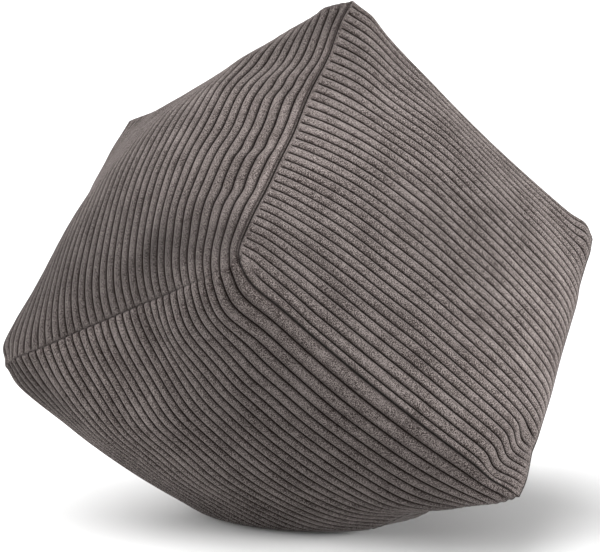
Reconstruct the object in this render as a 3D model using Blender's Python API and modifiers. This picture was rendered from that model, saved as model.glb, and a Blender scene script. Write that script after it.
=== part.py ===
"""Bean bag footstool: a cube of six square corduroy panels, filled and sewn shut.

The bag stands on one corner, as it does when it is dropped there: the filling
runs down, the corner is crushed flat on the floor and the opposite corner points
up. It is one filled solid. The real one has no frame, core or casing that shows.

Cube directions: X runs along the seam from the near corner to the left corner,
Y from the near corner to the top corner, Z from the near corner to the right foot.
World: metres, +Z up, the floor at z = 0, the near corner towards -Y.
"""
import math

import bmesh
import bpy
from mathutils import Euler, Vector

# ---- driving dimensions ----
PANEL_SIDE = 0.400                  # sewn side of each square panel
CENTRE_HEIGHT = 0.248               # middle of the cube above the floor
TURN_DEGREES = (137.0, 24.0, 134.0)  # the cube's lie, about world X, then Y, then Z
CROWN_FULLNESS = 0.9                # 1 is a plain dome, less is fuller near the seams
FOOT_BLEND = 0.015                  # the fabric rolls onto the floor within this height

CAGE_CELLS = 12                     # cells along a panel before the subdivision
SUBDIVISION = 1
SEAM_CREASE = 0.7

FABRIC_COLOUR = (0.235, 0.205, 0.190, 1.0)
FABRIC_ROUGHNESS = 0.95

MM = 0.001

# How far each corner is pulled out of the square, in mm along cube X, Y and Z.
CORNER_PULLS = {
    # corner (x, y, z): (along X, along Y, along Z)
    (0, 0, 0): (5, 5, 10),      # near corner
    (0, 1, 0): (15, 5, 0),      # top corner
    (1, 0, 0): (10, 5, -10),    # left corner
    (0, 0, 1): (-30, -5, 0),    # right foot
    (1, 1, 0): (10, 0, -15),    # far left corner
    (0, 1, 1): (0, -10, 5),     # right corner
    (1, 0, 1): (-40, 5, 15),    # crushed corner
    (1, 1, 1): (5, 10, -5),     # back corner
}

# How far the middle of each seam stands out (+) or is drawn in (-), in mm, square
# to each of the two panels that it joins. The panels are in the order X, Y, Z.
SEAM_BOWS = {
    # (direction of the seam, sides of the two panels): (first panel, second panel)
    ("X", 0, 0): (-15, -10),
    ("X", 1, 0): (15, -10),
    ("X", 0, 1): (5, -10),
    ("X", 1, 1): (-5, 0),
    ("Y", 0, 0): (-20, -10),
    ("Y", 1, 0): (5, -5),
    ("Y", 0, 1): (-20, 15),
    ("Y", 1, 1): (10, -10),
    ("Z", 0, 0): (-30, -15),
    ("Z", 1, 0): (5, 5),
    ("Z", 0, 1): (-10, 0),
    ("Z", 1, 1): (0, -5),
}

# How far the filling pushes out the middle of each panel, in mm.
PANEL_CROWNS = {
    # (direction that the panel faces, side): crown
    ("X", 0): 55,
    ("X", 1): 35,
    ("Y", 0): 55,
    ("Y", 1): 45,
    ("Z", 0): 60,
    ("Z", 1): 45,
}

DIRECTIONS = "XYZ"


def clear_scene():
    """Remove whatever the open file holds."""
    for thing in list(bpy.data.objects):
        bpy.data.objects.remove(thing, do_unlink=True)


def fabric_material():
    """Mid taupe brown corduroy, matt."""
    material = bpy.data.materials.new("corduroy")
    material.use_nodes = True
    shader = material.node_tree.nodes["Principled BSDF"]
    shader.inputs["Base Color"].default_value = FABRIC_COLOUR
    shader.inputs["Roughness"].default_value = FABRIC_ROUGHNESS
    shader.inputs["Metallic"].default_value = 0.0
    material.diffuse_color = FABRIC_COLOUR
    return material


def share(side, place):
    """The share of a corner or panel on this side (0 or 1) at a place along the cube."""
    return place if side else 1.0 - place


def arch(place):
    """Nothing at both ends of a seam and one in the middle."""
    return 4.0 * place * (1.0 - place)


def outward(side):
    return 1.0 if side else -1.0


def corner_shift(place):
    """Pull of the eight corners, blended through the cube."""
    shift = Vector((0.0, 0.0, 0.0))
    for corner, pull in CORNER_PULLS.items():
        weight = math.prod(share(corner[axis], place[axis]) for axis in range(3))
        shift += Vector(pull) * MM * weight
    return shift


def seam_shift(place):
    """Bow of the twelve seams, fading across the panels beside each seam."""
    shift = Vector((0.0, 0.0, 0.0))
    for (direction, *sides), bows in SEAM_BOWS.items():
        run = DIRECTIONS.index(direction)
        across = [axis for axis in range(3) if axis != run]
        weight = arch(place[run])
        for axis, side in zip(across, sides):
            weight *= share(side, place[axis])
        for axis, side, bow in zip(across, sides, bows):
            shift[axis] += outward(side) * bow * MM * weight
    return shift


def panel_shift(place):
    """Crown of the six panels, square to each panel."""
    shift = Vector((0.0, 0.0, 0.0))
    for (direction, side), crown in PANEL_CROWNS.items():
        facing = DIRECTIONS.index(direction)
        dome = math.prod(arch(place[axis]) for axis in range(3) if axis != facing)
        weight = share(side, place[facing]) * dome ** CROWN_FULLNESS
        shift[facing] += outward(side) * crown * MM * weight
    return shift


def rest_on_floor(point):
    """What would hang below the floor lies flat on it, past a short roll."""
    if point.z < -FOOT_BLEND:
        point.z = 0.0
    elif point.z < FOOT_BLEND:
        point.z = (point.z + FOOT_BLEND) ** 2 / (4.0 * FOOT_BLEND)
    return point


def bag_cage():
    """A cube cut into cells, filled out, turned onto its corner and set down."""
    cage = bmesh.new()
    bmesh.ops.create_cube(cage, size=1.0)
    seam_ends = [(edge.verts[0].co.copy(), edge.verts[1].co.copy()) for edge in cage.edges]
    bmesh.ops.subdivide_edges(cage, edges=cage.edges[:], cuts=CAGE_CELLS - 1, use_grid_fill=True)
    crease = cage.edges.layers.float.new("crease_edge")
    for edge in cage.edges:
        if on_a_seam(edge, seam_ends):
            edge[crease] = SEAM_CREASE

    turn = Euler([math.radians(angle) for angle in TURN_DEGREES], "XYZ").to_matrix()
    centre = Vector((0.0, 0.0, CENTRE_HEIGHT))
    for vert in cage.verts:
        place = vert.co + Vector((0.5, 0.5, 0.5))
        filled = vert.co * PANEL_SIDE + corner_shift(place) + seam_shift(place) + panel_shift(place)
        vert.co = rest_on_floor(turn @ filled + centre)
    return cage


def on_a_seam(edge, seam_ends):
    """True for an edge of the cut cube that lies along one of the cube's own edges."""
    middle = (edge.verts[0].co + edge.verts[1].co) / 2.0
    for start, end in seam_ends:
        along = (end - start).normalized()
        foot = start + along * (middle - start).dot(along)
        if (middle - foot).length < 1e-4:
            return True
    return False


def make_bag(collection):
    cage = bag_cage()
    bmesh.ops.recalc_face_normals(cage, faces=cage.faces[:])
    mesh = bpy.data.meshes.new("bag")
    cage.to_mesh(mesh)
    cage.free()
    for face in mesh.polygons:
        face.use_smooth = True

    bag = bpy.data.objects.new("bag", mesh)
    collection.objects.link(bag)
    mesh.materials.append(fabric_material())
    smooth = bag.modifiers.new("soft fabric", "SUBSURF")
    smooth.levels = SUBDIVISION
    smooth.render_levels = SUBDIVISION
    return bag


def main():
    clear_scene()
    collection = bpy.data.collections.new("bean bag footstool")
    bpy.context.scene.collection.children.link(collection)
    make_bag(collection)


main()
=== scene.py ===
import math

import bpy
import numpy as np
from mathutils import Euler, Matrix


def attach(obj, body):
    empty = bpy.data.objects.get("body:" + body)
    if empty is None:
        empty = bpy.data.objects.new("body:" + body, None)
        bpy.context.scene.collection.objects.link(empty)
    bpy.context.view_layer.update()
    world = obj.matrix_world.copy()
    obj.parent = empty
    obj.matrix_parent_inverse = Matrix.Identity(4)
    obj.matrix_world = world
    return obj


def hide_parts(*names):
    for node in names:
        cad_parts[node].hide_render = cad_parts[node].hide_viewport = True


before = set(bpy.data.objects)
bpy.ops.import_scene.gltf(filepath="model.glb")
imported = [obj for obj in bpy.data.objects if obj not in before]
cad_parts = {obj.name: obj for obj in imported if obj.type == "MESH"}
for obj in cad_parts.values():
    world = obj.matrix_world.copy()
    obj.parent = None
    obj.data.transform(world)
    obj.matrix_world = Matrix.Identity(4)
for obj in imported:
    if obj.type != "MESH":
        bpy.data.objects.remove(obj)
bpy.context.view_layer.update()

# The camera looks along +Y, a little down.
view = {
    "target": (-0.0084, 0.0, 0.2735),   # the point that it looks at
    "elevation": 8.5,                   # degrees above the horizon
    "distance": 2.6,
    "lens": 138.8,                      # mm
    "sensor": 36.0,                     # mm
    "farthest": 200.0,
}

studio = {
    "floorSide": 160.0,
    "floorColour": (0.70, 0.70, 0.70, 1.0),
    "floorRoughness": 0.9,
    "floorSpecular": 0.1,
    "worldColour": (1.0, 1.0, 1.0, 1.0),
    "worldStrength": 0.05,
    # the azimuth it comes from, 0 behind the camera and 90 on the right, its elevation, its strength
    # and its spread; angles in degrees
    "lamps": {
        "rightSoftbox": (80.0, 4.0, 10.5, 30.0),
        "leftSoftbox": (-75.0, 52.0, 4.95, 85.0),
        "lowSoftbox": (-72.0, 6.0, 2.6, 30.0),
        "topSoftbox": (0.0, 90.0, 1.8, 90.0),
    },
}


def placeCamera():
    lift = math.radians(view["elevation"])
    x, y, z = view["target"]
    data = bpy.data.cameras.new("camera")
    data.lens = view["lens"]
    data.sensor_width = view["sensor"]
    data.clip_end = view["farthest"]
    camera = bpy.data.objects.new("camera", data)
    camera.location = (x, y - view["distance"] * math.cos(lift), z + view["distance"] * math.sin(lift))
    camera.rotation_euler = (math.radians(90.0) - lift, 0.0, 0.0)
    bpy.context.scene.collection.objects.link(camera)
    bpy.context.scene.camera = camera


# A softbox far away: its light is the same all over the floor, and its spread softens the shadow.
def hangLamp(name, azimuth, elevation, strength, spread):
    data = bpy.data.lights.new(name, "SUN")
    data.energy = strength
    data.angle = math.radians(spread)
    lamp = bpy.data.objects.new(name, data)
    lamp.rotation_euler = (math.radians(90.0 - elevation), 0.0, math.radians(azimuth))
    bpy.context.scene.collection.objects.link(lamp)


placeCamera()
for lampName, lampFacts in studio["lamps"].items():
    hangLamp(lampName, *lampFacts)
world = bpy.data.worlds.new("studio")
world.use_nodes = True
background = world.node_tree.nodes["Background"]
background.inputs["Color"].default_value = studio["worldColour"]
background.inputs["Strength"].default_value = studio["worldStrength"]
bpy.context.scene.world = world
bpy.context.scene.view_settings.view_transform = "Standard"
print("camera and studio placed")


# One socket that carries a number. An expression on it adds its Math nodes.
class Value:
    def __init__(self, shop, socket):
        self.shop, self.socket = shop, socket

    def maths(self, operation, first, second, clamped=False):
        settings = {"operation": operation, "use_clamp": clamped}
        made = self.shop.node("ShaderNodeMath", settings, {0: first, 1: second})
        return Value(self.shop, made.outputs[0])

    def __add__(self, other):
        return self.maths("ADD", self, other)

    def __radd__(self, other):
        return self.maths("ADD", other, self)

    def __sub__(self, other):
        return self.maths("SUBTRACT", self, other)

    def __rsub__(self, other):
        return self.maths("SUBTRACT", other, self)

    def __mul__(self, other):
        return self.maths("MULTIPLY", self, other)

    def __rmul__(self, other):
        return self.maths("MULTIPLY", other, self)

    def held(self):                     # kept between 0 and 1
        return self.maths("ADD", self, 0.0, clamped=True)


# One material and its nodes. Every node other than maths comes from node().
class Shop:
    def __init__(self, name):
        self.material = bpy.data.materials.new(name)
        self.material.use_nodes = True
        self.tree = self.material.node_tree
        self.surface = self.tree.nodes["Principled BSDF"]

    def node(self, kind, settings, sockets):
        made = self.tree.nodes.new(kind)
        for key, setting in settings.items():
            setattr(made, key, setting)
        self.feed(made, sockets)
        return made

    def feed(self, made, sockets):
        for key, given in sockets.items():
            if isinstance(given, Value):
                self.tree.links.new(given.socket, made.inputs[key])
            elif isinstance(given, bpy.types.NodeSocket):
                self.tree.links.new(given, made.inputs[key])
            else:
                made.inputs[key].default_value = given

    def attribute(self, name):
        return Value(self, self.node("ShaderNodeAttribute", {"attribute_name": name}, {}).outputs["Fac"])

    def noise(self, where, scale, detail, rough):
        sockets = {"Vector": where, "Scale": scale, "Detail": detail, "Roughness": rough}
        return Value(self, self.node("ShaderNodeTexNoise", {}, sockets).outputs[0])

    def spread(self, value, low, high):     # eased from 0 at low to 1 at high
        settings = {"interpolation_type": "SMOOTHSTEP"}
        sockets = {"Value": value, "From Min": low, "From Max": high, "To Min": 0.0, "To Max": 1.0}
        return Value(self, self.node("ShaderNodeMapRange", settings, sockets).outputs[0])

    def mix(self, factor, first, second):
        settings = {"data_type": "RGBA", "blend_type": "MIX"}
        return self.node("ShaderNodeMix", settings, {0: factor, 6: first, 7: second}).outputs[2]


def layFloor():
    paleFloor = Shop("paleFloor")
    paleFloor.feed(paleFloor.surface, {
        "Base Color": studio["floorColour"], "Roughness": studio["floorRoughness"],
        "Specular IOR Level": studio["floorSpecular"],
    })
    half = studio["floorSide"] / 2
    mesh = bpy.data.meshes.new("floor")
    corners = [(-half, -half, 0), (half, -half, 0), (half, half, 0), (-half, half, 0)]
    mesh.from_pydata(corners, [], [(0, 1, 2, 3)])
    mesh.materials.append(paleFloor.material)
    floor = bpy.data.objects.new("floor", mesh)
    bpy.context.scene.collection.objects.link(floor)


layFloor()


# The bag is a soft cube balanced on one panel near a corner. A place on it is three numbers from 0 to 1
# along the cube's edges. The first tables are the solid part's own, in mm unless a line says otherwise.
bag = {
    "side": 0.400,                      # m
    "centreHeight": 0.248,              # m
    "turn": (137.0, 24.0, 134.0),       # degrees
    "crownFullness": 0.9,
    "footBlend": 0.015,                 # m
    "cornerPulls": {
        (0, 0, 0): (5, 5, 10), (0, 1, 0): (15, 5, 0), (1, 0, 0): (10, 5, -10), (0, 0, 1): (-30, -5, 0),
        (1, 1, 0): (10, 0, -15), (0, 1, 1): (0, -10, 5), (1, 0, 1): (-40, 5, 15), (1, 1, 1): (5, 10, -5),
    },
    # (the way the seam runs, side of the two panels that it joins): outward bow over each
    "seamBows": {
        (0, 0, 0): (-15, -10), (0, 1, 0): (15, -10), (0, 0, 1): (5, -10), (0, 1, 1): (-5, 0),
        (1, 0, 0): (-20, -10), (1, 1, 0): (5, -5), (1, 0, 1): (-20, 15), (1, 1, 1): (10, -10),
        (2, 0, 0): (-30, -15), (2, 1, 0): (5, 5), (2, 0, 1): (-10, 0), (2, 1, 1): (0, -5),
    },
    # (the way the panel faces, side): crown
    "panelCrowns": {(0, 0): 55, (0, 1): 35, (1, 0): 55, (1, 1): 45, (2, 0): 60, (2, 1): 45},
    # how far each sewn corner is drawn in, and over what reach
    "cornerTucks": {
        (0, 1, 0): 2, (0, 0, 1): 2, (0, 1, 1): 3, (1, 0, 0): 5, (1, 1, 0): 1, (1, 0, 1): 5, (1, 1, 1): 5,
    },
    "tuckReach": 0.06,
    # the filling rounds the cloth out beside a seam: named as in seamBows, over its first and second panel
    "seamFullness": {
        (0, 0, 0): (4, 5), (1, 0, 0): (3, 0), (1, 0, 1): (11, 3), (1, 1, 0): (4, 0), (2, 0, 0): (4, 7),
        (2, 1, 0): (3, 3),
    },
    "fullnessReach": 0.09,
    # Looser or tighter cloth: from place, to place, reach, and push along the three edges. Outwards is
    # minus along an edge on the near three panels and plus on the hidden three.
    "swells": (
        # round the left corner: lower panel, left seam, seam down to the foot, the corner itself, and the
        # far left panel full behind it
        ((1, 0, 0.20), (0.7, 0, 0.25), 0.20, (0, -7, 0)),
        ((1, 0.05, 0), (1, 0.30, 0), 0.15, (8, 0, -3)),
        ((1, 0, 0.12), (1, 0, 0.20), 0.10, (-3, 2, 0)),
        ((1, 0, 0.65), (1, 0, 0.80), 0.12, (-5, 4, 0)),
        ((1, 0, 0), (1, 0, 0), 0.06, (-4, 1, 4)),
        ((1, 0.10, 0.06), (1, 0.16, 0.05), 0.06, (7, 0, 0)),
        # upper panel: hollows across its wales beside the front seam, fuller between and beyond them
        ((0.07, 0.80, 0), (0.20, 0.80, 0), 0.08, (0, 0, 6)),
        ((0.08, 0.53, 0), (0.20, 0.53, 0), 0.08, (0, 0, 5)),
        ((0.32, 0.84, 0), (0.32, 0.74, 0), 0.09, (0, 0, -5)),
        ((0.50, 0.64, 0), (0.60, 0.50, 0), 0.12, (0, 0, -4)),
        ((0.06, 0.18, 0), (0.22, 0.22, 0), 0.11, (0, 0, -4)),
        ((0.52, 0.85, 0), (0.70, 0.85, 0), 0.09, (0, 0, 5)),
        ((0.70, 0.15, 0), (0.80, 0.40, 0), 0.12, (0, 0, -4)),
        # its far seam, which faces forward beside the top corner, then the top corner
        ((0.12, 1, 0), (0.40, 1, 0), 0.10, (0, 0, -1)),
        ((0.12, 1, 0), (0.24, 1, 0), 0.06, (-2, 3, -2)),
        ((0.10, 1, 0), (0.28, 0.94, 0), 0.09, (-1, -12, -6)),
        ((0.05, 1, 0), (0.08, 1, 0), 0.035, (0, 1, -3)),
        ((0, 1, 0.02), (0, 1, 0.06), 0.05, (-1, 5, 3)),
        # the far left corner, and the two seams of the upper panel that meet there
        ((0.88, 1, 0), (0.60, 1, 0), 0.07, (1, -2, 3)),
        ((1, 1, 0), (1, 1, 0), 0.05, (-1, 1, -1)),
        ((1, 0.86, 0), (1, 0.72, 0), 0.08, (2, -1, -2)),
        ((1, 0.55, 0), (1, 0.35, 0), 0.10, (-2, 1, 2)),
        # right panel: fuller beside the top corner and towards its two far seams
        ((0, 0.92, 0.10), (0, 0.80, 0.10), 0.08, (-5, 0, 0)),
        ((0, 0.62, 0.25), (0, 0.75, 0.40), 0.16, (-5, 0, 0)),
        ((0, 0.85, 0.40), (0, 0.80, 0.75), 0.12, (-4, 0, 0)),
        # the seam from the top corner to the right one, that corner, and the seam down to the foot
        ((0, 1, 0.05), (0, 1, 0.25), 0.15, (-1, 2, 0)),
        ((0, 0.98, 0.95), (0, 0.94, 0.96), 0.04, (-5, 3, -1)),
        ((0, 0.90, 1), (0, 0.84, 1), 0.05, (2, -1, -2)),
        ((0, 0.10, 1), (0, 0.40, 1), 0.12, (-1, 0, 2)),
        # right foot corner, and the fold above it
        ((0, 0, 1), (0, 0, 1), 0.12, (0, -1, 5)),
        ((0, 0.19, 0.955), (0, 0.04, 0.915), 0.035, (12, 0, 0)),
        # foot seam, with the under panel behind it
        ((0.42, 0, 1), (0.80, 0, 1), 0.15, (0, 3, -18)),
        ((0.20, 0, 1), (0.32, 0, 1), 0.09, (-1, 2, -3)),
        ((0.48, 0.15, 1), (0.75, 0.12, 1), 0.10, (0, -6, 10)),
        # near corner, both sides of the seam to the left of it, and the lower panel below it
        ((0, 0, 0), (0, 0, 0), 0.05, (-4, 3, 1)),
        ((0, 0, 0), (0, 0, 0), 0.018, (4, 4, 4)),
        ((0.03, 0.07, 0), (0.25, 0.07, 0), 0.06, (0, 0, -2)),
        ((0.03, 0, 0.07), (0.25, 0, 0.07), 0.06, (0, -2, 0)),
        ((0.12, 0, 0.10), (0.30, 0, 0.10), 0.09, (8, -8, 0)),
        # lower panel: a roll across it, a dip between that and its upper seam, fuller at its ends
        ((0.20, 0, 0.27), (0.80, 0, 0.27), 0.09, (0, -5, 0)),
        ((0.18, 0, 0.10), (0.38, 0, 0.10), 0.07, (0, 5, 0)),
        ((0.80, 0, 0.10), (0.80, 0, 0.14), 0.09, (0, -5, 0)),
        ((0.25, 0, 0.86), (0.25, 0, 0.86), 0.10, (0, -4, 0)),
        ((0.75, 0, 0.45), (0.60, 0, 0.50), 0.10, (0, -3, 0)),
        # puckers along the front seam, between the upper and the right panel
        ((0.06, 0.69, 0), (0.13, 0.69, 0), 0.030, (0, 0, 2.5)),
        ((0.06, 0.46, 0), (0.12, 0.45, 0), 0.030, (0, 0, 2.5)),
        ((0.06, 0.29, 0), (0.12, 0.28, 0), 0.035, (0, 0, 2)),
    ),
}
bagTurn = np.array(Euler([math.radians(a) for a in bag["turn"]], "XYZ").to_matrix())


# How near a place is to one of two opposite sides: 1 on it, 0 on the other.
def share(side, place):
    return place if side else 1.0 - place


# A parabola, 0 at both ends and 1 in the middle.
def arch(place):
    return 4.0 * place * (1.0 - place)


# A bell curve of the distance from the straight line between two places.
def bell(place, start, end, reach):
    start, line = np.array(start, dtype=float), np.subtract(end, start)
    along = np.clip((place - start) @ line / max(line @ line, 1e-9), 0, 1)
    gap = place - start - along[..., None] * line
    return np.exp(-(gap ** 2).sum(axis=-1) / reach ** 2)


# A place on the cube goes to its point in the row frame: corner pulls fade linearly along every edge,
# each seam bows as an arch times its nearness to both panels, each panel crowns as an arch both ways,
# fullness beside a seam rises and fades as x exp(1 - x), and tucks and swells are bell curves.
def bagPoint(place):
    shift = np.zeros(place.shape)
    for corner, pull in bag["cornerPulls"].items():
        weight = np.ones(place.shape[:-1])
        for axis in range(3):
            weight = weight * share(corner[axis], place[..., axis])
        tuck = bag["cornerTucks"].get(corner, 0) * bell(place, corner, corner, bag["tuckReach"])
        for axis in range(3):
            shift[..., axis] += pull[axis] * weight - (2 * corner[axis] - 1) * tuck
    for seam, bows in bag["seamBows"].items():
        run, sides = seam[0], seam[1:]
        over = [axis for axis in range(3) if axis != run]
        nearness = [share(side, place[..., axis]) for axis, side in zip(over, sides)]
        along = arch(place[..., run])
        fullness = bag["seamFullness"].get(seam, (0, 0))
        for panel in range(2):
            away = (1 - nearness[1 - panel]) / bag["fullnessReach"]
            rise = fullness[panel] * np.sqrt(along) * away * np.exp(1 - away) * nearness[panel]
            bow = bows[panel] * along * nearness[0] * nearness[1]
            shift[..., over[panel]] += (2 * sides[panel] - 1) * (bow + rise)
    for (facing, side), crown in bag["panelCrowns"].items():
        dome = np.ones(place.shape[:-1])
        for axis in range(3):
            if axis != facing:
                dome = dome * arch(place[..., axis])
        dome = np.clip(dome, 0.0, None) ** bag["crownFullness"]
        shift[..., facing] += (2 * side - 1) * crown * share(side, place[..., facing]) * dome
    for start, end, reach, push in bag["swells"]:
        shift += np.array(push) * bell(place, start, end, reach)[..., None]
    point = ((place - 0.5) * bag["side"] + shift * 0.001) @ bagTurn.T
    point[..., 2] += bag["centreHeight"]
    return point


# The floor flattens what would sink below it: heights within footBlend of it ease to 0 as a parabola.
def restOnFloor(point):
    soft = bag["footBlend"]
    height = point[..., 2]
    eased = (height + soft) ** 2 / (4.0 * soft)
    point[..., 2] = np.where(height < -soft, 0.0, np.where(height < soft, eased, height))
    return point


corduroy = {
    "waleHeight": 0.0034,       # from the bottom of a groove to the top of the pile
    "waleBreadth": 1.95,        # 2 is a round wale, more is a broad flat one
    "rightBreadth": 2.2,        # and on the right panel
    "waleEnd": 0.0030,          # the pile rounds off over this at a cross seam
    "profile": (0, .055, .12, .23, .36, .5, .64, .77, .88, .945),
    "seamDip": 0.0004,          # the cloth turns in by this at a seam
    "seamTurn": 0.0060,         # over this distance
    "blendReach": 0.030,        # where the lift turns from the panel's own way to the seam's
    "clothDepth": 0.0040,
    "rowGap": 0.0036,
    "edgeRows": (0, .0004, .001, .0018, .0028, .004, .0055, .0075, .010),
    # slow wander of the wales: its size, then for each wave its share, its turns along and across, and
    # how much the panel's own start moves it
    "wander": 0.0035,
    "wanderWaves": ((1.0, 5.1, 3.0, 1.0), (0.6, 11.3, -4.0, 2.3), (0.35, 23.0, 9.0, 4.1)),
    # how much broader the first wales are than the middle ones; the last are narrower by as much
    "crowding": {"panel.upper": 0.10, "panel.lower": 0.10, "panel.right": 0.06},
    # beside the seams at their far ends the wales of these panels are pressed flat
    "pressedPanels": ("panel.upper", "panel.right", "panel.lower"),
    "pressedReach": 0.015,
    "pressedPile": 0.8,
    # how deep the wales' near ends sink into the cross seam: at the near corner, and from deepFrom on
    "seamDepths": {"panel.upper": (0.12, 0.55), "panel.lower": (0.12, 0.55)},
    "deepFrom": 0.35,
    "endShade": 0.45,           # painted shade: how light the pile's ends stay in a cross seam
}

# Facing axis, side, axis across the wales, axis along them, wales, and the share left of the first and
# the last wale: below nought it is cut through its pile, above it keeps its groove at the seam.
panels = {
    "panel.upper": (2, 0, 0, 1, 34, -0.95, -0.45),
    "panel.right": (0, 0, 1, 2, 36, 0.5, -0.6),
    "panel.lower": (1, 0, 0, 2, 34, 0.95, -0.85),
    "panel.farLeft": (0, 1, 1, 2, 34, -0.7, 0.5),
    "panel.back": (1, 1, 0, 2, 34, -0.6, 0.8),
    "panel.under": (2, 1, 0, 1, 34, -0.5, 0.7),
}

# the upper panel beside its two near seams
upperTrim = {
    "cordAt": 0.0026,           # a groove follows the front seam this far inside
    "cordBreadth": 0.0009,
    "cordDepth": 0.6,
    "hemReach": 0.0035,         # and the pile is pressed beside the seam above the lower panel
    "hemPress": 0.7,            # by this share
    "hemHold": 1.3,             # fully up to (hemHold - 1) hemReach from the seam, then easing
    "hemFrom": 0.3,             # in full from this share across
}

# the right panel beside its two near seams
rightTrim = {
    "cutWale": 0.56,            # its edge wale where the lower seam has cut it down to a cord
    "wholeWale": 0.50,          # what is added where it is whole
    "opensOver": 0.05,          # it opens over this share of the seam, from leastOpen
    "leastOpen": 0.3,
    "cutOver": 0.22,            # and is cut down over this one
    "cutHold": 1.25,            # from (cutHold - 1) cutOver on
    "roomWales": 4.0,           # the wales next to it that make room
    "joinedPile": 0.97,         # it and the next wale are one beside the near corner
    "joinedReach": 0.55,        # in wales
    "joinedTo": 0.5,            # and part at joinedTo / joinedStretch of the seam
    "joinedStretch": 14.0,
    "bareStrip": 0.0036,        # the wales stop short of the front seam by this
    "stripEase": 0.001,
    "stripPile": 0.80,
}

# Mostly painted light and shade in the pile's colour, partly the change in tone where the nap lies another
# way: the panel's own share, then patches, lighter where the bag should catch more light and darker where it
# lies in shade, from place, to place across and along the panel, reach, more or less.
paintedLightAndNap = {
    "panel.upper": (0.95, (
        ((0.05, 0.40), (0.30, 0.85), 0.30, 0.36), ((0.95, 0.25), (0.40, 0.12), 0.25, -0.34),
        ((0.06, 0.10), (0.30, 0.12), 0.09, -0.34), ((0.05, 0.93), (0.20, 0.88), 0.08, -0.40),
        ((0.02, 0.25), (0.02, 0.60), 0.05, 0.18),
    )),
    "panel.right": (1.08, (
        ((0.60, 0.08), (0.65, 0.22), 0.24, 0.20), ((0.85, 0.90), (0.35, 0.80), 0.20, 0.28),
        ((0.12, 0.10), (0.08, 0.40), 0.15, -0.14), ((0.58, 0.36), (0.42, 0.50), 0.11, -0.10),
        # the small dark patch at (0, 0) on the next line is painted shade in the near corner
        ((0.30, 0.03), (0.55, 0.06), 0.09, 0.14), ((0.0, 0.0), (0.02, 0.0), 0.012, -0.75),
    )),
    "panel.lower": (0.90, (
        # the light patch at (0, 0) on the next line is painted light on the rounded edge beside the near
        # corner
        ((0.75, 0.06), (0.66, 0.28), 0.18, 0.24), ((0.0, 0.0), (0.05, 0.12), 0.10, 0.20),
        ((0.80, 0.32), (0.45, 0.80), 0.14, 0.12), ((1.0, 0.0), (0.90, 0.10), 0.10, -0.34),
        ((0.0, 0.95), (0.10, 0.93), 0.06, 0.35),
    )),
    # the under panel's low share is painted shade for the underside close to the floor
    "panel.under": (0.52, ()),
}


# The panel's own share plus a bell curve for each patch: painted light and shade, partly the nap's lie.
def paintedLightAndNapShare(name, across, along):
    own, patches = paintedLightAndNap.get(name, (1.0, ()))
    shade = np.full(across.shape, own)
    for start, end, reach, more in patches:
        shade += more * bell(np.stack([across, along], -1), start, end, reach)
    return shade


# Rows are even in the middle and crowd towards both ends.
def rowPlaces():
    edge = np.array(corduroy["edgeRows"]) / bag["side"]
    count = int(round((1.0 - 2 * edge[-1]) * bag["side"] / corduroy["rowGap"]))
    middle = np.linspace(edge[-1], 1.0 - edge[-1], count + 1)
    return np.concatenate([edge[:-1], middle, 1.0 - edge[:-1][::-1]])


# A sum of sines along and across the panel that vanishes at the seams along its wales.
def wander(across, along, start):
    drift = sum(part * np.sin(turnsAlong * along + turnsAcross * across + moved * start)
                for part, turnsAlong, turnsAcross, moved in corduroy["wanderWaves"])
    return corduroy["wander"] * drift * arch(across)


# The share left of the right panel's edge wale along its lower seam: it opens linearly at the near
# corner, then the seam cuts it down linearly to a cord.
def edgeWale(along):
    opened = np.clip(along / rightTrim["opensOver"], rightTrim["leastOpen"], 1)
    uncut = np.clip(rightTrim["cutHold"] - along / rightTrim["cutOver"], 0, 1)
    return rightTrim["cutWale"] + rightTrim["wholeWale"] * opened * uncut


# A quarter circle of the gap to a seam, from 0 at the seam to 1 at reach.
def turnIn(gap, reach):
    return np.sqrt(np.clip(1 - (1 - np.clip(gap / reach, 0, 1)) ** 2, 0, 1))


# How far a place is from the nearer of two opposite seams, in metres.
def seamGap(place):
    return np.minimum(place, 1 - place) * bag["side"]


# Columns follow the wales and rows cross them. The phase runs from 0 to 1 over each wale, or over the
# share that a seam leaves of it.
def layWales(name):
    wales, firstShare, lastShare = panels[name][4:]
    steps = np.array(corduroy["profile"])
    column = np.append((np.arange(wales)[:, None] + steps[None, :]).ravel(), float(wales))
    column, along = np.meshgrid(column, rowPlaces())
    first, last = abs(firstShare), abs(lastShare)
    across = (np.clip(column, 0, 1) * first + np.clip(column - 1, 0, wales - 2)
              + np.clip(column - wales + 1, 0, 1) * last) / (first + wales - 2 + last)
    phase = column - np.floor(column)
    if firstShare < 0:
        phase = np.where(column < 1, 1 - first * (1 - phase), phase)
    if lastShare < 0:
        phase = np.where(column > wales - 1, last * np.where(column < wales, phase, 1), phase)
    if name == "panel.right":
        shift = (edgeWale(along) - first) / wales * np.clip(column, 0, 1) * (1 - column / wales)
        across = across + shift * np.exp(-np.clip(column - 1, 0, None) / rightTrim["roomWales"])
    start = float(sorted(panels).index(name))
    broader = corduroy["crowding"].get(name, 0) * across * (1 - across)
    return column, phase, across + broader + wander(across, along, start), along


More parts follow.
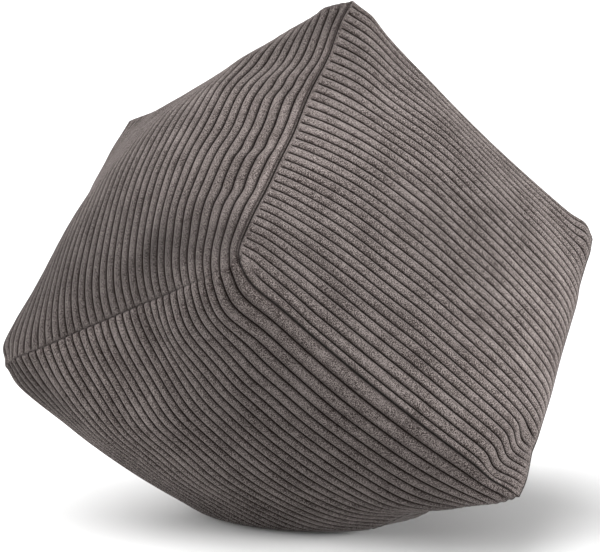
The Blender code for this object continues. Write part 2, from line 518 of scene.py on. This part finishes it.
# The panel's own outward way comes from the slopes of its grid. At a seam both panels lift along the sum
# of their cube axes instead, so their edges stay together. Also says whether the grid's faces point in.
def liftWay(name, base, across, along):
    facing, side, acrossAxis, alongAxis = panels[name][:4]
    normal = np.cross(np.gradient(base, axis=1), np.gradient(base, axis=0))
    normal /= np.linalg.norm(normal, axis=-1, keepdims=True) + 1e-12
    outward = bagTurn[:, facing] * (2 * side - 1)
    flip = np.sign((normal @ outward).mean())
    nearAcross = (1 - np.clip(seamGap(across) / corduroy["blendReach"], 0, 1)) ** 2
    nearAlong = (1 - np.clip(seamGap(along) / corduroy["blendReach"], 0, 1)) ** 2
    toSide = nearAcross * np.where(across > 0.5, 1, -1)
    toEnd = nearAlong * np.where(along > 0.5, 1, -1)
    seamWay = outward + toSide[..., None] * bagTurn[:, acrossAxis] + toEnd[..., None] * bagTurn[:, alongAxis]
    seamWay /= np.linalg.norm(seamWay, axis=-1, keepdims=True)
    near = 1 - (1 - nearAcross) * (1 - nearAlong)
    way = flip * normal * (1 - near[..., None]) + seamWay * near[..., None]
    return way / np.linalg.norm(way, axis=-1, keepdims=True), flip < 0


# How high the pile stands across a wale, as (1 - |2p - 1|^n)^(1/2) of its phase p, pressed towards one
# even height beside some seams.
def pileSection(name, column, phase, across, along):
    breadth = corduroy["rightBreadth"] if name == "panel.right" else corduroy["waleBreadth"]
    section = np.sqrt(np.clip(1 - np.abs(2 * phase - 1) ** breadth, 0, 1))
    if name in corduroy["pressedPanels"]:
        pressed = np.clip(1 - (1 - along) * bag["side"] / corduroy["pressedReach"], 0, 1)
        pressed = pressed ** 2 * (3 - 2 * pressed)
        section = section * (1 - pressed) + corduroy["pressedPile"] * pressed
    if name == "panel.right":
        place = np.stack([column, rightTrim["joinedStretch"] * along], -1)
        joined = bell(place, (1, 0), (1, rightTrim["joinedTo"]), rightTrim["joinedReach"])
        section = np.maximum(section, rightTrim["joinedPile"] * joined)
        strip = np.clip((rightTrim["bareStrip"] - along * bag["side"]) / rightTrim["stripEase"], 0, 1)
        section = section * (1 - strip) + rightTrim["stripPile"] * strip
    if name == "panel.upper":
        cord = (across * bag["side"] - upperTrim["cordAt"]) / upperTrim["cordBreadth"]
        section = section * (1 - upperTrim["cordDepth"] * np.exp(-cord ** 2))
        hem = np.clip(upperTrim["hemHold"] - along * bag["side"] / upperTrim["hemReach"], 0, 1)
        hem = upperTrim["hemPress"] * hem * np.clip(across / upperTrim["hemFrom"], 0, 1)
        section = section * (1 - hem) + corduroy["pressedPile"] * hem
    return section


# One panel as two sheets of points: the front has the pile on the bag's form, rounded off at the wales'
# ends and turned in at the seams by quarter circles, and the coarser back lies clothDepth inside.
def waleGrid(name):
    facing, side, acrossAxis, alongAxis = panels[name][:4]
    column, phase, across, along = layWales(name)
    place = np.empty(across.shape + (3,))
    place[..., facing], place[..., acrossAxis], place[..., alongAxis] = side, across, along
    base = restOnFloor(bagPoint(place))
    way, turned = liftWay(name, base, across, along)
    section = pileSection(name, column, phase, across, along)

    deepNear, deepFar = corduroy["seamDepths"].get(name, (1, 1))
    deep = deepNear + (deepFar - deepNear) * np.clip(across / corduroy["deepFrom"], 0, 1)
    deep = np.where(along < 0.5, deep, 1)
    ends = 1 - deep * (1 - turnIn(seamGap(along), corduroy["waleEnd"]))
    ends = ends * turnIn(seamGap(across), corduroy["waleEnd"] / 2)
    roll = turnIn(seamGap(across), corduroy["seamTurn"]) * turnIn(seamGap(along), corduroy["seamTurn"])
    height = -corduroy["seamDip"] * (1 - roll) + corduroy["waleHeight"] * (section * ends - 1)
    # pile is the mask for the painted groove shade: low in the grooves, and scaled down to endShade where
    # the wales end in a cross seam
    pile = section * (corduroy["endShade"] + (1 - corduroy["endShade"]) * ends)
    front = base + way * height[..., None]
    coarse = slice(None, None, len(corduroy["profile"]))
    back = base[:, coarse] + way[:, coarse] * (height[:, coarse, None] - corduroy["clothDepth"])
    return front, back, pile, across, along, turned


# The faces of the two sheets of points, and of the four edges that close them.
def panelFaces(rows, columns, wales, turned):
    step = (columns - 1) // wales
    front = np.arange(rows * columns).reshape(rows, columns)
    back = rows * columns + np.arange(rows * (wales + 1)).reshape(rows, wales + 1)
    outer = np.stack([front[:-1, :-1], front[:-1, 1:], front[1:, 1:], front[1:, :-1]], -1).reshape(-1, 4)
    inner = np.stack([back[:-1, :-1], back[1:, :-1], back[1:, 1:], back[:-1, 1:]], -1).reshape(-1, 4)
    left = np.stack([front[:-1, 0], front[1:, 0], back[1:, 0], back[:-1, 0]], -1)
    right = np.stack([front[1:, -1], front[:-1, -1], back[:-1, -1], back[1:, -1]], -1)
    faces = np.concatenate([outer, inner, left, right]).tolist()
    for wale in range(wales):
        span = slice(wale * step, (wale + 1) * step + 1)
        faces.append(front[0, span][::-1].tolist() + back[0, wale:wale + 2].tolist())
        faces.append(front[-1, span].tolist() + back[-1, wale:wale + 2][::-1].tolist())
    return [face[::-1] for face in faces] if turned else faces


# One number for every point, front sheet first.
def setAttribute(mesh, name, front, back):
    numbers = np.concatenate([front.ravel(), back.ravel()]).astype(np.float32)
    mesh.attributes.new(name, "FLOAT", "POINT").data.foreach_set("value", numbers)


def sewPanel(name):
    front, back, pile, across, along, turned = waleGrid(name)
    wales = back.shape[1] - 1
    step = (front.shape[1] - 1) // wales
    faces = panelFaces(*front.shape[:2], wales, turned)
    mesh = bpy.data.meshes.new(name)
    points = np.concatenate([front.reshape(-1, 3), back.reshape(-1, 3)])
    mesh.from_pydata(points.tolist(), [], faces)
    mesh.polygons.foreach_set("use_smooth", np.ones(len(faces), dtype=bool))
    # the pile attribute is the mask of the painted groove shade, and the other carries painted light and
    # shade, partly the nap's lie
    shade = paintedLightAndNapShare(name, across, along)
    setAttribute(mesh, "pile", pile, np.zeros(back.shape[:2]))
    setAttribute(mesh, "paintedLightAndNapTone", shade, shade[:, ::step])

    # the cloth laid flat, in metres
    flat = np.stack([across, along], -1) * bag["side"]
    flat = np.concatenate([flat.reshape(-1, 2), flat[:, ::step].reshape(-1, 2)])
    corners = np.empty(len(mesh.loops), dtype=np.int32)
    mesh.loops.foreach_get("vertex_index", corners)
    mesh.uv_layers.new(name="cloth").uv.foreach_set("vector", flat[corners].astype(np.float32).ravel())
    mesh.update()
    piece = bpy.data.objects.new(name, mesh)
    bpy.context.scene.collection.objects.link(piece)
    print("sewn", name, len(faces), "faces")
    return piece


# the cloth's finish
napped = {
    # groove is painted shade: the near-black colour of the deep grooves and of the wales' ends in the seams,
    # where shade falls
    "groove": (0.0056, 0.0024, 0.0018, 1.0),
    "darkPile": (0.0170, 0.0120, 0.0105, 1.0),
    "lightPile": (0.1640, 0.1415, 0.1350, 1.0),
    "grooveDepth": (0.26, 1.0),         # where the painted groove shade ends and the pile's colour is whole
    # noises: scale, detail, roughness; then between which values each is eased from 0 to 1
    "nap": (1000.0, 2.0, 0.6), "napEase": (0.32, 0.70),
    "fibre": (1500.0, 1.0, 0.5),
    "patch": (26.0, 4.0, 0.55),
    "cloud": (7.0, 2.0, 0.5),
    "worn": (17.0, 2.0, 0.5), "wornEase": (0.46, 0.62),
    "fleck": (800.0, 1.0, 0.5), "fleckEase": (0.58, 0.72),
    "streak": (1.0, 2.0, 0.5), "streakStretch": (260.0, 22.0, 1.0),
    "middleTone": 0.47, "middleNap": 0.3,
    # how far each one moves the tone between the dark and the light pile
    "byNap": 1.9, "byPatch": 0.9, "byCloud": 0.5, "byStreak": 0.6, "byFleck": 0.45,
    "roughness": (0.82, 0.16),          # at the bottom of the nap, and more at its top
    "bump": 0.4, "bumpDepth": 0.0010, "bumpNap": 0.7, "bumpFibre": 0.3,
    "specular": 0.08, "sheen": 0.09, "sheenRoughness": 0.45, "sheenTint": (0.95, 0.90, 0.88, 1.0),
}


# Pile lies between two colours by its tone, times the share of painted light and shade, partly the nap's
# lie, and its depth in a groove takes it to the groove's colour, which is painted shade.
def corduroyFinish():
    shop = Shop("corduroy")
    spot = shop.node("ShaderNodeTexCoord", {}, {}).outputs["Object"]
    cloth = shop.node("ShaderNodeUVMap", {"uv_map": "cloth"}, {}).outputs[0]
    stretch = {"Vector": cloth, "Scale": napped["streakStretch"]}
    lengthways = shop.node("ShaderNodeMapping", {}, stretch).outputs[0]
    nap = shop.spread(shop.noise(spot, *napped["nap"]), *napped["napEase"])
    fibre = shop.noise(spot, *napped["fibre"])
    patch = shop.noise(spot, *napped["patch"])
    cloud = shop.noise(spot, *napped["cloud"])
    streak = shop.noise(lengthways, *napped["streak"])
    worn = shop.spread(shop.noise(spot, *napped["worn"]), *napped["wornEase"])
    fleck = shop.spread(shop.noise(spot, *napped["fleck"]), *napped["fleckEase"])
    tone = napped["middleTone"] + (nap * nap - napped["middleNap"]) * napped["byNap"]
    tone = tone + (patch - 0.5) * napped["byPatch"] + (cloud - 0.5) * napped["byCloud"]
    tone = tone + (streak - 0.5) * napped["byStreak"] + worn * fleck * napped["byFleck"]
    body = shop.mix(tone.held(), napped["darkPile"], napped["lightPile"])
    # painted light and shade, partly the nap's lie, scale the pile's colour
    paintedLightAndNapTone = shop.attribute("paintedLightAndNapTone")
    body = shop.node("ShaderNodeVectorMath", {"operation": "SCALE"}, {0: body, "Scale": paintedLightAndNapTone}).outputs[0]
    # the pile mask takes the colour to the painted groove shade
    depth = shop.spread(shop.attribute("pile"), *napped["grooveDepth"])
    colour = shop.mix(depth, napped["groove"], body)
    height = nap * napped["bumpNap"] + fibre * napped["bumpFibre"]
    bump = shop.node("ShaderNodeBump", {}, {
        "Strength": napped["bump"], "Distance": napped["bumpDepth"], "Height": height})
    least, more = napped["roughness"]
    shop.feed(shop.surface, {
        "Base Color": colour, "Roughness": least + nap * more, "Normal": bump.outputs[0],
        "Specular IOR Level": napped["specular"], "Sheen Weight": napped["sheen"],
        "Sheen Roughness": napped["sheenRoughness"], "Sheen Tint": napped["sheenTint"],
    })
    return shop.material


finish = corduroyFinish()
for panelName in panels:
    panel = sewPanel(panelName)
    panel.data.materials.append(finish)
    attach(panel, "root")
    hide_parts("bag")
